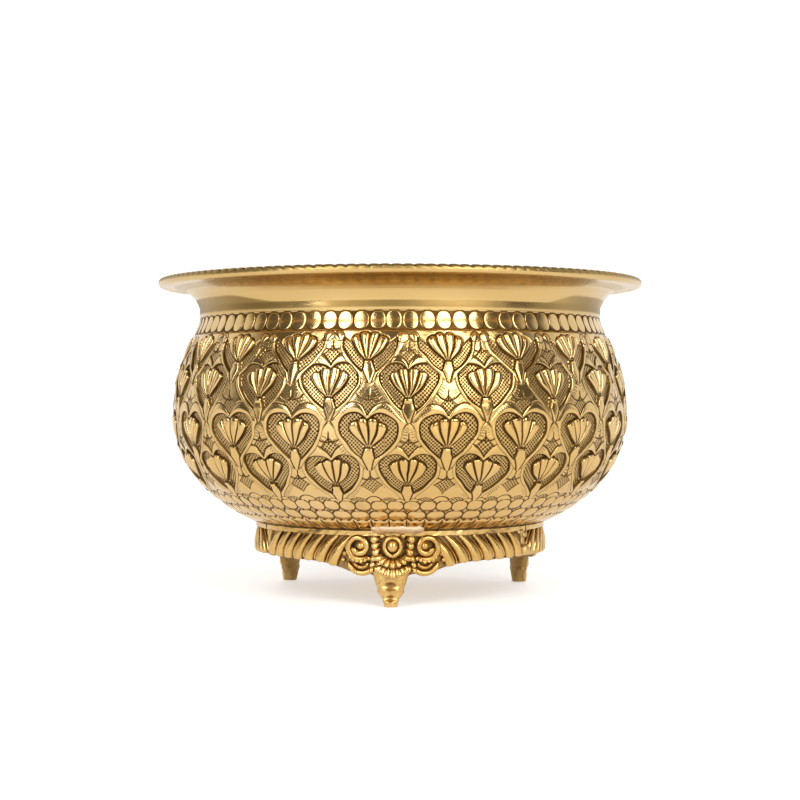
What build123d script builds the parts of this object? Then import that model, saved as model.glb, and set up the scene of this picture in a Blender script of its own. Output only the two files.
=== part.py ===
"""Round brass planter pot on a ring of three cast foot brackets.

The bowl is one spun sheet with a pinched neck, a flared lip and a rolled rim that is closed over a
stiffening wire. Three identical cast brackets, each with one foot, are butted end to end under the
bowl. Braze joins each bracket to the bowl above its foot, and fills the joints between the brackets.

Millimetres, +Z up, origin on the floor under the bowl's axis, front foot towards -Y.
"""

import math
import os

from build123d import *

# Bowl
total_height = 192.5
rim_radius = 150.0
wall = 1.2
roll_radius = 2.7
wire_radius = 1.5
lip_end_radius = 146.0
neck_radius = 124.4
neck_height = 169.6
flare_radius = 17.0
flare_end = 97.0  # degrees round the flare's arc at which the straight lip starts
shoulder_radius = 90.0
belly_radius = 140.3
belly_height = 111.0
belly_power = 2.1  # 2 would be an ellipse; a little more makes the lower side fuller
floor_radius = 40.0
floor_height = 35.0
belly_steps = 8

# Ring of foot brackets
foot_angles = {"front": -90.0, "right": 30.0, "left": 150.0}
corner_angles = {"right": -30.0, "back": 90.0, "left": 210.0}
joint_gap = 1.2
bed_gap = 0.4
ring_inner = 84.0
ring_outer = 90.0
ledge_height = 2.2
ledge_step = 2.0
apron_bulge_radius = 89.8
apron_bulge_height = 32.0
apron_bottom = 24.0
apron_bottom_radius = 87.0
flutes_per_side = 7
flute_pitch = 5.6  # degrees
first_flute = 20.5  # degrees from the foot
flute_notch_radius = 2.0

# Scrolls, boss and palmette over each foot
scroll_angle = 13.3
scroll_height = 34.7
scroll_radius = 6.5
scroll_relief = 9.0
scroll_eye_radius = 2.8
scroll_eye_relief = 10.5
boss_size = (4.2, 5.2)
boss_height = 34.9
boss_relief = 11.0
boss_rounding = 2.6
palmette_size = (15.0, 9.0)
palmette_height = 27.0
palmette_relief = 7.0

# Foot: height, half width and half depth of each section, from the floor up
foot_centre_radius = 86.0
foot_sections = (
    (0.0, 3.6, 4.4),
    (5.0, 4.4, 4.2),
    (9.0, 6.6, 4.2),
    (14.0, 8.4, 4.2),
    (20.0, 10.0, 3.6),
    (28.0, 9.0, 3.0),
)

# Braze
pad_sweep = 32.0
pad_outer = 98.0
pad_toe = 1.0
corner_proud = 0.8
cut_margin = 1.0  # how far a cutting tool runs past the faces it cuts


def radial_plane(angle):
    """Upright plane through the axis: local x runs outwards at the given angle, local y runs up."""
    a = math.radians(angle)
    return Plane(
        origin=(0, 0, 0),
        x_dir=(math.cos(a), math.sin(a), 0),
        z_dir=(math.sin(a), -math.cos(a), 0),
    )


def facing_plane(angle, radius):
    """Upright plane that faces outwards at the given angle and radius; local y runs up."""
    a = math.radians(angle)
    return Plane(
        origin=(radius * math.cos(a), radius * math.sin(a), 0),
        x_dir=(-math.sin(a), math.cos(a), 0),
        z_dir=(math.cos(a), math.sin(a), 0),
    )


def belly_point(turn, inset=0.0):
    """Point of the superellipse from the floor (0 degrees) to the belly (90), moved in by inset."""
    width = belly_radius - floor_radius
    depth = belly_height - floor_height
    s = math.sin(math.radians(turn))
    c = math.cos(math.radians(turn))
    out = s ** (2 / belly_power)
    down = c ** (2 / belly_power)
    normal_x = out ** (belly_power - 1) / width
    normal_z = -(down ** (belly_power - 1)) / depth
    length = math.hypot(normal_x, normal_z)
    return (
        floor_radius + width * out - inset * normal_x / length,
        belly_height - depth * down - inset * normal_z / length,
    )


def belly_height_at(radius):
    """Height of the bowl's underside at a radius outside the flat floor."""
    share = (radius - floor_radius) / (belly_radius - floor_radius)
    rise = (1 - share**belly_power) ** (1 / belly_power)
    return belly_height - (belly_height - floor_height) * rise


def arc_point(centre, radius, turn):
    return (
        centre[0] + radius * math.cos(math.radians(turn)),
        centre[1] + radius * math.sin(math.radians(turn)),
    )


shoulder_centre = (belly_radius - shoulder_radius, belly_height)
flare_centre = (neck_radius + flare_radius, neck_height)
centres_apart = math.dist(shoulder_centre, flare_centre)
centres_turn = math.degrees(
    math.atan2(flare_centre[1] - shoulder_centre[1], flare_centre[0] - shoulder_centre[0])
)
# The straight stretch touches both circles, one on each side of it.
tangent_turn = centres_turn - math.degrees(
    math.acos((shoulder_radius + flare_radius) / centres_apart)
)


def bowl_line(inset):
    """Draws one face of the wall, from the axis out to the lip, moved in by inset."""
    floor = (0, floor_height + inset)
    belly = [belly_point(90 * i / belly_steps, inset) for i in range(belly_steps + 1)]
    shoulder = shoulder_radius - inset
    flare = flare_radius + inset
    shoulder_end = arc_point(shoulder_centre, shoulder, tangent_turn)
    flare_start = arc_point(flare_centre, flare, tangent_turn + 180)
    flare_stop = arc_point(flare_centre, flare, flare_end)
    lip_rise = (lip_end_radius - flare_stop[0]) * math.tan(math.radians(flare_end - 90))
    lip_end = (lip_end_radius, flare_stop[1] + lip_rise)
    Line(floor, belly[0])
    Spline(*belly, tangents=[(1, 0), (0, 1)])
    ThreePointArc(
        belly[-1], arc_point(shoulder_centre, shoulder, tangent_turn / 2), shoulder_end
    )
    Line(shoulder_end, flare_start)
    ThreePointArc(flare_start, arc_point(flare_centre, flare, 150), flare_stop)
    Line(flare_stop, lip_end)
    return floor, lip_end


roll_centre = (rim_radius - roll_radius, total_height - roll_radius)

with BuildPart() as bowl:
    with BuildSketch(Plane.XZ) as wall_section:
        with BuildLine():
            outer_floor, outer_lip = bowl_line(0)
            inner_floor, inner_lip = bowl_line(wall)
            Line(outer_floor, inner_floor)
            Line(outer_lip, inner_lip)
        make_face()
    revolve(axis=Axis.Z)
    with BuildSketch(Plane.XZ) as roll_section:
        with Locations(roll_centre):
            Circle(roll_radius)
            Circle(wire_radius, mode=Mode.SUBTRACT)
    revolve(axis=Axis.Z)

with BuildPart() as rim_wire:
    with BuildSketch(Plane.XZ) as wire_section:
        with Locations(roll_centre):
            Circle(wire_radius)
    revolve(axis=Axis.Z)

# The whole space that the bowl takes up, which cuts the braze to the bowl's outer face.
with BuildPart() as bowl_space:
    with BuildSketch(Plane.XZ) as space_section:
        with BuildLine():
            space_floor, space_lip = bowl_line(0)
            Polyline(space_lip, (0, space_lip[1]), space_floor)
        make_face()
    revolve(axis=Axis.Z)

bed_inner = (ring_inner, belly_height_at(ring_inner) - bed_gap)
bed_outer = (ring_outer, belly_height_at(ring_outer) - bed_gap)
ledge_bottom = (ring_outer, bed_outer[1] - ledge_height)
apron_top = (ring_outer - ledge_step, ledge_bottom[1])
bracket_sweep = 120.0 - math.degrees(joint_gap / ring_outer)


def ring_line(proud=0.0):
    """Draws the ring's section: sloping bed, ledge and bulging apron, with its front moved out."""
    apron_start = (apron_top[0] + proud, apron_top[1])
    apron_middle = (apron_bulge_radius + proud, apron_bulge_height)
    apron_end = (apron_bottom_radius + proud, apron_bottom)
    Polyline(
        apron_end,
        (ring_inner, apron_bottom),
        bed_inner,
        bed_outer,
        (ledge_bottom[0] + proud, ledge_bottom[1]),
        apron_start,
    )
    ThreePointArc(apron_start, apron_middle, apron_end)


def foot_bracket(foot_angle):
    """One cast bracket: a third of the ring with its scrolls, boss, palmette and foot."""
    with BuildPart() as bracket:
        with BuildSketch(radial_plane(foot_angle - bracket_sweep / 2)):
            with BuildLine():
                ring_line()
            make_face()
        revolve(axis=Axis.Z, revolution_arc=bracket_sweep)

        for side in (-1, 1):
            for i in range(flutes_per_side):
                notch_angle = foot_angle + side * (first_flute + i * flute_pitch)
                with BuildSketch(facing_plane(notch_angle, ring_inner - cut_margin)):
                    with Locations((0, apron_bottom)):
                        Circle(flute_notch_radius)
                extrude(amount=ring_outer - ring_inner + 2 * cut_margin, mode=Mode.SUBTRACT)

            for radius, relief in (
                (scroll_radius, scroll_relief),
                (scroll_eye_radius, scroll_eye_relief),
            ):
                with BuildSketch(facing_plane(foot_angle + side * scroll_angle, ring_inner)):
                    with Locations((0, scroll_height)):
                        Circle(radius)
                extrude(amount=relief)

        front = facing_plane(foot_angle, ring_inner)
        with BuildSketch(front):
            with Locations((0, palmette_height)):
                Ellipse(*palmette_size)
        extrude(amount=palmette_relief)
        with BuildSketch(front):
            with Locations((0, boss_height)):
                Ellipse(*boss_size)
        extrude(amount=boss_relief)
        boss_rim = bracket.edges(Select.LAST).group_by(Axis((0, 0, 0), front.z_dir))[-1]
        fillet(boss_rim, boss_rounding)

        foot = facing_plane(foot_angle, foot_centre_radius)
        for height, half_width, half_depth in foot_sections:
            level = Plane(
                origin=foot.origin + Vector(0, 0, height), x_dir=foot.x_dir, z_dir=(0, 0, 1)
            )
            with BuildSketch(level):
                Ellipse(half_width, half_depth)
        loft()
    return bracket


def braze_pad(foot_angle):
    """Braze above one foot: fills the corner between the bowl's underside and the ledge."""
    top = belly_height_at(pad_outer) + cut_margin
    with BuildPart() as pad:
        with BuildSketch(radial_plane(foot_angle - pad_sweep / 2)):
            with BuildLine():
                Polyline(
                    bed_inner,
                    bed_outer,
                    (ring_outer + pad_toe, bed_outer[1]),
                    (pad_outer, top),
                    (ring_inner, top),
                    close=True,
                )
            make_face()
        revolve(axis=Axis.Z, revolution_arc=pad_sweep)
        add(bowl_space.part, mode=Mode.SUBTRACT)
    return pad


def corner_braze(corner_angle):
    """Braze that fills the joint between two brackets, standing a little proud of their fronts."""
    sweep = 120.0 - bracket_sweep
    with BuildPart() as corner:
        with BuildSketch(radial_plane(corner_angle - sweep / 2)):
            with BuildLine():
                ring_line(corner_proud)
            make_face()
        revolve(axis=Axis.Z, revolution_arc=sweep)
    return corner


pieces = {"bowl": bowl, "rim_wire": rim_wire}
for side_name, foot_angle in foot_angles.items():
    pieces[f"foot_bracket_{side_name}"] = foot_bracket(foot_angle)
    pieces[f"bowl_braze_{side_name}"] = braze_pad(foot_angle)
for side_name, corner_angle in corner_angles.items():
    pieces[f"joint_braze_{side_name}"] = corner_braze(corner_angle)

os.makedirs("parts", exist_ok=True)
for label, piece in pieces.items():
    piece.part.label = label
    export_step(piece.part, f"parts/{label}.step")
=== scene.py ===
"""Looks of the round brass planter: embossed bowl, rope rim, cast foot brackets and braze.

Metres in the scene; the ornament's own sizes are in millimetres, as its maker would measure them.
Azimuth runs from the front (-Y) towards +X. Arc is the length along the bowl's outer profile,
from the middle of the floor to the lip.
"""

import math

import bpy
import numpy as np
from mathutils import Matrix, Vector


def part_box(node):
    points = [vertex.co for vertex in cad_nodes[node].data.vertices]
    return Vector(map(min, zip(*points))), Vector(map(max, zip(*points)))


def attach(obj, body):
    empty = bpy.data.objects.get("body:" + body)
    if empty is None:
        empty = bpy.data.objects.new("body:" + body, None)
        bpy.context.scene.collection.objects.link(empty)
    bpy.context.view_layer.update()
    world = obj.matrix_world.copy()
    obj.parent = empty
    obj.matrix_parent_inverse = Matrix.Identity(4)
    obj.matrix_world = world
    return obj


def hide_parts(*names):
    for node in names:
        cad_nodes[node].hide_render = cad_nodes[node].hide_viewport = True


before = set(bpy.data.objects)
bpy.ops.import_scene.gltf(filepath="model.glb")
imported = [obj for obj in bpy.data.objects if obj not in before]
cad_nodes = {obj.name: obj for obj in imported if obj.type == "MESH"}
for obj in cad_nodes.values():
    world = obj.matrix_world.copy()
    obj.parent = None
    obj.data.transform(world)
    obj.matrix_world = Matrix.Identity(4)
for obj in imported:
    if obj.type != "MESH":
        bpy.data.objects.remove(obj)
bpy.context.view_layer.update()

MM = 0.001

# ---------------------------------------------------------------- sizes, in millimetres

BOWL_LOW, BOWL_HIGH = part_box("bowl")
TOTAL_HEIGHT = BOWL_HIGH.z / MM
RIM_RADIUS = BOWL_HIGH.x / MM
WALL = 1.2
ROLL_RADIUS = 2.7
LIP_END_RADIUS = 146.0
NECK_RADIUS = 124.4
NECK_HEIGHT = 169.6
FLARE_RADIUS = 17.0
FLARE_END = 97.0
SHOULDER_RADIUS = 90.0
BELLY_RADIUS = 140.3
BELLY_HEIGHT = 111.0
BELLY_POWER = 2.1
FLOOR_RADIUS = 40.0
FLOOR_HEIGHT = BOWL_LOW.z / MM

UNROLL_RADIUS = 140.0  # arc lengths round the belt are taken at this radius
COLUMNS = 20
ROW_HEIGHTS = (147.9, 128.1, 100.4, 78.8)  # flower centres, from the top row down
ROW_TURNS = (-3.6, 5.4, -3.6, 5.4)  # azimuth of one flower in each row, degrees
BAND_LOW, BAND_HIGH = 157.6, 168.7
BAND_BEADS = 86
NECK_FLAT = (170.2, 174.4)  # heights between which the neck is a plain cylinder
BASE_ROW_EDGES = (50.4, 56.4, 62.7)
BASE_ROW_BEADS = (64, 80)
LEDGE_SHADOW = (93.8, 96.0)  # arcs over which a painted shadow darkens the bowl above the brackets' ledge
INNER_RELIEF = 0.55  # share of the outer relief that shows on the inside
INNER_STEP = 0.25  # how far beyond one wall the inner face lies
LINE_DEPTH = 0.36  # of a chased line
LINE_WIDTH = 0.34  # at which the cut has lost two thirds of its depth
PANELS = 10
PANEL_COLUMNS = 184
PANEL_ROWS = 236


def smooth(start, stop, value):
    """0 before start, 1 after stop, and the cubic 3t^2 - 2t^3 between them."""
    t = np.clip((value - start) / (stop - start), 0.0, 1.0)
    return t * t * (3.0 - 2.0 * t)


def soft_noise(seed, x, y, scale, x_period=None):
    """Sum of a few seeded sine waves, about -1 to 1. With x_period it repeats along x."""
    local = np.random.default_rng(seed)
    total = np.zeros(np.broadcast(x, y).shape)
    for _ in range(7):
        turn = local.uniform(0, 2 * math.pi)
        length = scale * local.uniform(0.6, 1.6)
        kx, ky = math.cos(turn) / length, math.sin(turn) / length
        if x_period:
            kx = round(kx * x_period) / x_period
        total = total + np.sin(2 * math.pi * (kx * x + ky * y) + local.uniform(0, 6.28))
    return total / 4.0


def wall_noise(seed, azimuth, arc, scale):
    """Soft noise over the bowl's wall that closes on itself round the pot."""
    return soft_noise(seed, azimuth * UNROLL_RADIUS, arc, scale, 2 * math.pi * UNROLL_RADIUS)


def bell(t):
    """Bell curve e^(-t^2)."""
    return np.exp(-(t**2))


def blend(a, b, share):
    """a where share is 0, b where it is 1."""
    return a * (1 - share) + b * share


def round_edge(t):
    """0 to 1 along a quarter of a circle while t runs from 0 to 1."""
    return np.sqrt(np.clip(1 - (1 - np.clip(t, 0, 1)) ** 2, 0, 1))


def round_turns(count):
    """Angles of count places spaced evenly round a circle."""
    return np.linspace(0, 2 * math.pi, count + 1)[:-1]


def place_round(radius, azimuth, height):
    """Points at a radius, azimuth and height."""
    return np.stack([radius * np.sin(azimuth), -radius * np.cos(azimuth), height], -1)


def on_circle(centre, radius, a):
    """Points of a circle at the angles a, in its own plane."""
    return np.stack([centre[0] + radius * np.cos(a), centre[1] + radius * np.sin(a)], 1)


def unit(v):
    """Each vector over its own length."""
    return v / np.maximum(np.linalg.norm(v, axis=-1, keepdims=True), 1e-12)


# ---------------------------------------------------------------- the bowl's outer profile


def profile_line():
    """Points (radius, height) of the outer profile from the axis to the lip's end.

    Flat floor; quarter of a superellipse to the belly; shoulder arc; the straight line that touches
    the shoulder's and the flare's circles; flare arc; straight lip.
    """
    floor = np.stack([np.linspace(0, FLOOR_RADIUS, 40), np.full(40, FLOOR_HEIGHT)], 1)
    t = np.linspace(0, math.pi / 2, 700)[1:]
    belly_r = FLOOR_RADIUS + (BELLY_RADIUS - FLOOR_RADIUS) * np.sin(t) ** (2 / BELLY_POWER)
    belly_z = BELLY_HEIGHT - (BELLY_HEIGHT - FLOOR_HEIGHT) * np.cos(t) ** (2 / BELLY_POWER)
    shoulder = (BELLY_RADIUS - SHOULDER_RADIUS, BELLY_HEIGHT)
    flare = (NECK_RADIUS + FLARE_RADIUS, NECK_HEIGHT)
    apart = math.dist(shoulder, flare)
    turn = math.atan2(flare[1] - shoulder[1], flare[0] - shoulder[0])
    touch = turn - math.acos((SHOULDER_RADIUS + FLARE_RADIUS) / apart)
    over = on_circle(shoulder, SHOULDER_RADIUS, np.linspace(0, touch, 200))
    out = on_circle(flare, FLARE_RADIUS, np.linspace(touch + math.pi, math.radians(FLARE_END), 200))
    run = LIP_END_RADIUS - out[-1, 0]
    rise = run * math.tan(math.radians(FLARE_END - 90))
    lip = np.linspace(0, 1, 20)[1:, None] * np.array([[run, rise]]) + out[-1]
    return np.concatenate([floor, np.stack([belly_r, belly_z], 1), over, out, lip])


_line = profile_line()
_arc = np.concatenate([[0], np.cumsum(np.hypot(*np.diff(_line, axis=0).T))])
ARC = np.arange(0, _arc[-1], 0.25)
PROFILE_R = np.interp(ARC, _arc, _line[:, 0])
PROFILE_Z = np.interp(ARC, _arc, _line[:, 1])
_dr, _dz = np.gradient(PROFILE_R), np.gradient(PROFILE_Z)
_dl = np.hypot(_dr, _dz)
NORMAL_R, NORMAL_Z = _dz / _dl, -_dr / _dl


def arc_at(height):
    """Arc length at which the profile, above the floor, has this height."""
    return float(np.interp(height, PROFILE_Z[200:], ARC[200:]))


def on_bowl(azimuth, arc, height):
    """Points at an azimuth (radians) and arc (mm), moved out along the wall's normal by height."""
    r = np.interp(arc, ARC, PROFILE_R) + np.interp(arc, ARC, NORMAL_R) * height
    z = np.interp(arc, ARC, PROFILE_Z) + np.interp(arc, ARC, NORMAL_Z) * height
    return place_round(r, azimuth, z)


# ---------------------------------------------------------------- meshes


class Shape:
    """Vertices in millimetres, values per vertex, and faces as arrays of equal-sided polygons.

    A pair of faces and a number takes the finish of that number; faces alone take the first.
    """

    def __init__(self, points, faces, values=None, normals=None):
        self.points = points.reshape(-1, 3)
        self.faces = [f if isinstance(f, tuple) else (f, 0) for f in faces]
        self.values = values or {}
        self.normals = normals

    def moved(self, change):
        return Shape(change(self.points), self.faces, self.values)


def grid_faces(columns, rows, wrap=False, close=False):
    """Quads of a grid of columns x rows cells, numbered column by column.

    wrap joins the last column to the first, and close joins the last row to the first.
    """
    i, j = np.meshgrid(np.arange(columns), np.arange(rows), indexing="ij")
    after = (i + 1) % columns if wrap else i + 1
    above = (j + 1) % rows if close else j + 1
    stride = rows if close else rows + 1
    corners = [i * stride + j, after * stride + j, after * stride + above, i * stride + above]
    return np.stack(corners, -1).reshape(-1, 4)


def tube(rings, turns):
    """Quads between neighbouring rings of points."""
    return np.roll(grid_faces(rings - 1, turns, close=True), -1, axis=1)


def end_caps(rings, turns):
    """One polygon over the first ring and one over the last."""
    return [np.arange(turns)[None], (rings - 1) * turns + np.arange(turns)[None, ::-1]]


def pointed_tube(rings, turns):
    """A tube whose ends are closed by fans to two more points, numbered after the rings."""
    j = np.arange(turns)
    above, last = (j + 1) % turns, (rings - 1) * turns
    tips = [np.full(turns, rings * turns), np.full(turns, rings * turns + 1)]
    fans = [np.stack([j, above, tips[0]], 1), np.stack([last + above, last + j, tips[1]], 1)]
    return [tube(rings, turns), *fans]


def flipped(faces):
    """The same faces turned to face the other way."""
    return [f[:, ::-1] for f in faces]


def joined(shapes):
    """One shape that holds several."""
    points, faces, start = [], [], 0
    names = sorted({n for s in shapes for n in s.values})
    values = {n: [] for n in names}
    for s in shapes:
        points.append(s.points)
        faces += [(f + start, m) for f, m in s.faces]
        for n in names:
            values[n].append(s.values.get(n, np.zeros(len(s.points))))
        start += len(s.points)
    return Shape(np.concatenate(points), faces, {n: np.concatenate(v) for n, v in values.items()})


def add_object(name, data):
    """Object that shows the data in the scene."""
    thing = bpy.data.objects.new(name, data)
    bpy.context.scene.collection.objects.link(thing)
    return thing


def make_piece(name, shape, finishes, nodes, sharp=None):
    """Mesh object from a shape. It rides on the root body and stands for the given CAD nodes.

    Edges that turn by more than sharp degrees stay crisp.
    """
    mesh = bpy.data.meshes.new(name)
    mesh.vertices.add(len(shape.points))
    mesh.vertices.foreach_set("co", (shape.points * MM).astype(np.float32).ravel())
    loops = np.concatenate([f.ravel() for f, _ in shape.faces])
    sides = np.concatenate([np.full(len(f), f.shape[1]) for f, _ in shape.faces])
    finish = np.concatenate([np.full(len(f), number) for f, number in shape.faces])
    starts = np.concatenate([[0], np.cumsum(sides)[:-1]])
    mesh.loops.add(len(loops))
    mesh.loops.foreach_set("vertex_index", loops.astype(np.int32))
    mesh.polygons.add(len(sides))
    mesh.polygons.foreach_set("loop_start", starts.astype(np.int32))
    mesh.polygons.foreach_set("material_index", finish.astype(np.int32))
    mesh.polygons.foreach_set("use_smooth", np.ones(len(sides), bool))
    for value_name, value in shape.values.items():
        layer = mesh.attributes.new(value_name, "FLOAT", "POINT")
        layer.data.foreach_set("value", value.astype(np.float32))
    mesh.update(calc_edges=True)
    for material in finishes:
        mesh.materials.append(material)
    if shape.normals is not None:
        mesh.normals_split_custom_set_from_vertices(shape.normals.astype(np.float32))
    elif sharp:
        mesh.set_sharp_from_angle(angle=math.radians(sharp))
    piece = add_object(name, mesh)
    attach(piece, "root")
    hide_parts(*nodes)


def slab(turn_start, turn_stop, columns, arc_start, arc_stop, rows, field, wrap=False):
    """Closed piece of the bowl's wall.

    The outer face is the profile at (azimuth, arc) moved out by field(azimuth, arc)["height"]; the
    inner face, at half the fineness, lies one wall further in and repeats the relief, softened.
    columns and rows are even.
    """

    def face(columns, rows, height_at):
        """Positions and normals, with one sample beyond each side for the slopes."""
        turns = turn_start + (turn_stop - turn_start) * np.arange(-1, columns + 2) / columns
        arcs = arc_start + (arc_stop - arc_start) * np.arange(-1, rows + 2) / rows
        u, v = np.meshgrid(turns, arcs, indexing="ij")
        values = height_at(u, v)
        p = on_bowl(u, v, values["height"])
        across = p[2:, 1:-1] - p[:-2, 1:-1]
        up = p[1:-1, 2:] - p[1:-1, :-2]
        n = unit(np.cross(across, up))
        last = -2 if wrap else -1
        values = {k: a[1:last, 1:-1].ravel() for k, a in values.items() if k != "height"}
        return p[1:last, 1:-1].reshape(-1, 3), (n[:-1] if wrap else n).reshape(-1, 3), values

    def inner(u, v):
        return {"height": INNER_RELIEF * field(u, v)["height"] - WALL - INNER_STEP}

    half_columns, half_rows = columns // 2, rows // 2
    p, n, values = face(columns, rows, field)
    q, m, _ = face(half_columns, half_rows, inner)

    def out(i, j):
        return (i % columns if wrap else i) * (rows + 1) + j

    def back(i, j):
        return len(p) + (i % half_columns if wrap else i) * (half_rows + 1) + j

    def stitch(steps, outer_at, inner_at, forward):
        """Closes one side of the piece: each face has two outer edges and one inner edge."""
        k = np.arange(steps)
        outer = [outer_at(2 * k), outer_at(2 * k + 1), outer_at(2 * k + 2)]
        behind = [inner_at(k), inner_at(k + 1)]
        return np.stack(outer + behind[::-1] if forward else outer[::-1] + behind, 1)

    stitches = [
        stitch(half_columns, lambda k: out(k, 0), lambda k: back(k, 0), False),
        stitch(half_columns, lambda k: out(k, rows), lambda k: back(k, half_rows), True),
    ]
    if not wrap:
        stitches += [
            stitch(half_rows, lambda k: out(0, k), lambda k: back(0, k), True),
            stitch(half_rows, lambda k: out(columns, k), lambda k: back(half_columns, k), False),
        ]
    values = {k: np.concatenate([a, np.zeros(len(q))]) for k, a in values.items()}
    inner_faces = grid_faces(half_columns, half_rows, wrap)[:, ::-1] + len(p)
    faces = [(grid_faces(columns, rows, wrap), 0), (inner_faces, 1)] + [(s, 1) for s in stitches]
    return Shape(np.concatenate([p, q]), faces, values, np.concatenate([n, -m]))


# ---------------------------------------------------------------- the ornament of one cell


def curve_through(points, steps=8):
    """Catmull-Rom curve through the points, with straight ends."""
    p = np.array(points, float)
    p = np.concatenate([[2 * p[0] - p[1]], p, [2 * p[-1] - p[-2]]])
    t = (np.arange(steps) / steps)[:, None]
    spans = []
    for a, b, c, d in zip(p[:-3], p[1:-2], p[2:-1], p[3:]):
        square, cube = 2 * a - 5 * b + 4 * c - d, 3 * b - a - 3 * c + d
        spans.append(0.5 * (2 * b + (c - a) * t + square * t**2 + cube * t**3))
    return np.concatenate(spans + [p[-2:-1]])


def nearest_on(x, y, line):
    """Distance from each point to a line of short straight steps, and the run along it there."""
    best = np.full(x.shape, 1e9)
    run_at = np.zeros(x.shape)
    run = 0.0
    for (ax, ay), (bx, by) in zip(line[:-1], line[1:]):
        dx, dy = bx - ax, by - ay
        length = math.hypot(dx, dy)
        t = np.clip(((x - ax) * dx + (y - ay) * dy) / length**2, 0, 1)
        d = np.hypot(x - ax - t * dx, y - ay - t * dy)
        nearer = d < best
        best = np.where(nearer, d, best)
        run_at = np.where(nearer, run + t * length, run_at)
        run += length
    return best, run_at


def inside(x, y, ring):
    """True where a point is inside a closed line, by counting crossings."""
    found = np.zeros(x.shape, bool)
    for (ax, ay), (bx, by) in zip(ring, np.roll(ring, -1, 0)):
        if ay == by:
            continue
        spans = (ay > y) != (by > y)
        found ^= spans & (x < ax + (y - ay) * (bx - ax) / (by - ay))
    return found


def mirrored(right):
    """A closed line from its right half, which runs from the top down."""
    left = right[::-1] * np.array([-1.0, 1.0])
    return np.concatenate([right, left[1:-1] if right[0][0] == 0 and right[-1][0] == 0 else left])


# The cell's outlines, from the flower's centre: the sunk well and the raised hood round it.
WELL_LOBE = [(0, 7.2), (2.2, 9.4), (5.6, 11.0), (9.6, 11.0), (13.4, 9.4), (15.9, 6.0), (16.3, 1.9)]
WELL_SIDE = [(16.3, 1.9), (15.2, -1.6), (12.6, -5.2), (8.7, -10.0), (3.9, -14.2)]
WELL_FOOT = [(3.9, -14.2), (3.1, -12.0), (2.6, -9.6), (2.3, -8.3), (0, -7.9)]
HOOD_LOBE = [(0, 10.0), (1, 11.8), (4, 15.2), (9, 17.0), (14, 15.0), (18, 11.0), (21.8, 6.9)]
HOOD_SIDE = [(21.8, 6.9), (19, 3.2), (17.6, -2), (13.4, -8), (10.2, -11.2), (6.4, -15.1)]
HOOD_SIDE += [(4.2, -18.2), (1.5, -21), (0, -21.8)]
STAR_LEAF = [(1.0, 18.4), (4.8, 19.6), (8.4, 23.4)]
FAN_APEX = -9.4  # height of the point that the petals spread from
FAN_EDGES = (-40.5, -19.6, 0.5, 20.4, 40.5)  # degrees at which one petal meets the next
FAN_START = 1.7  # how far from the apex the petals start
FAN_TIPS = (18.2, 18.3, 18.5, 18.0)  # and end
FAN_SKEWS = (0.1, -0.1, 0.1, -0.1)  # where each petal's tip lies across it
CELL_STEP = 0.15
CELL_X, CELL_LOW, CELL_HIGH = 23.0, -25.0, 27.0
GROOVE = 0.36  # width of the cut round the well and the hood
GROUND = 0.6  # how far the plain ground between the cells stands above the wall
STAR_CENTRE = 15.2
STAR_SIZE = (6.4, 5.9)
STAR_POWER = 0.84  # below 1 draws the star's sides in
LOW_STAR_DROP = 7.6  # from the lowest flowers to the stars below them
# Arcs over the base beads: place across, half width, rise, and 1 where stippled.
LOW_ARCS = (
    (0.0, 5.6, 4.4, 0),
    (10.2, 5.2, 3.2, 1),
    (-10.2, 5.2, 3.2, 1),
    (17.5, 3.4, 2.6, 0),
    (-17.5, 3.4, 2.6, 0),
)


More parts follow.
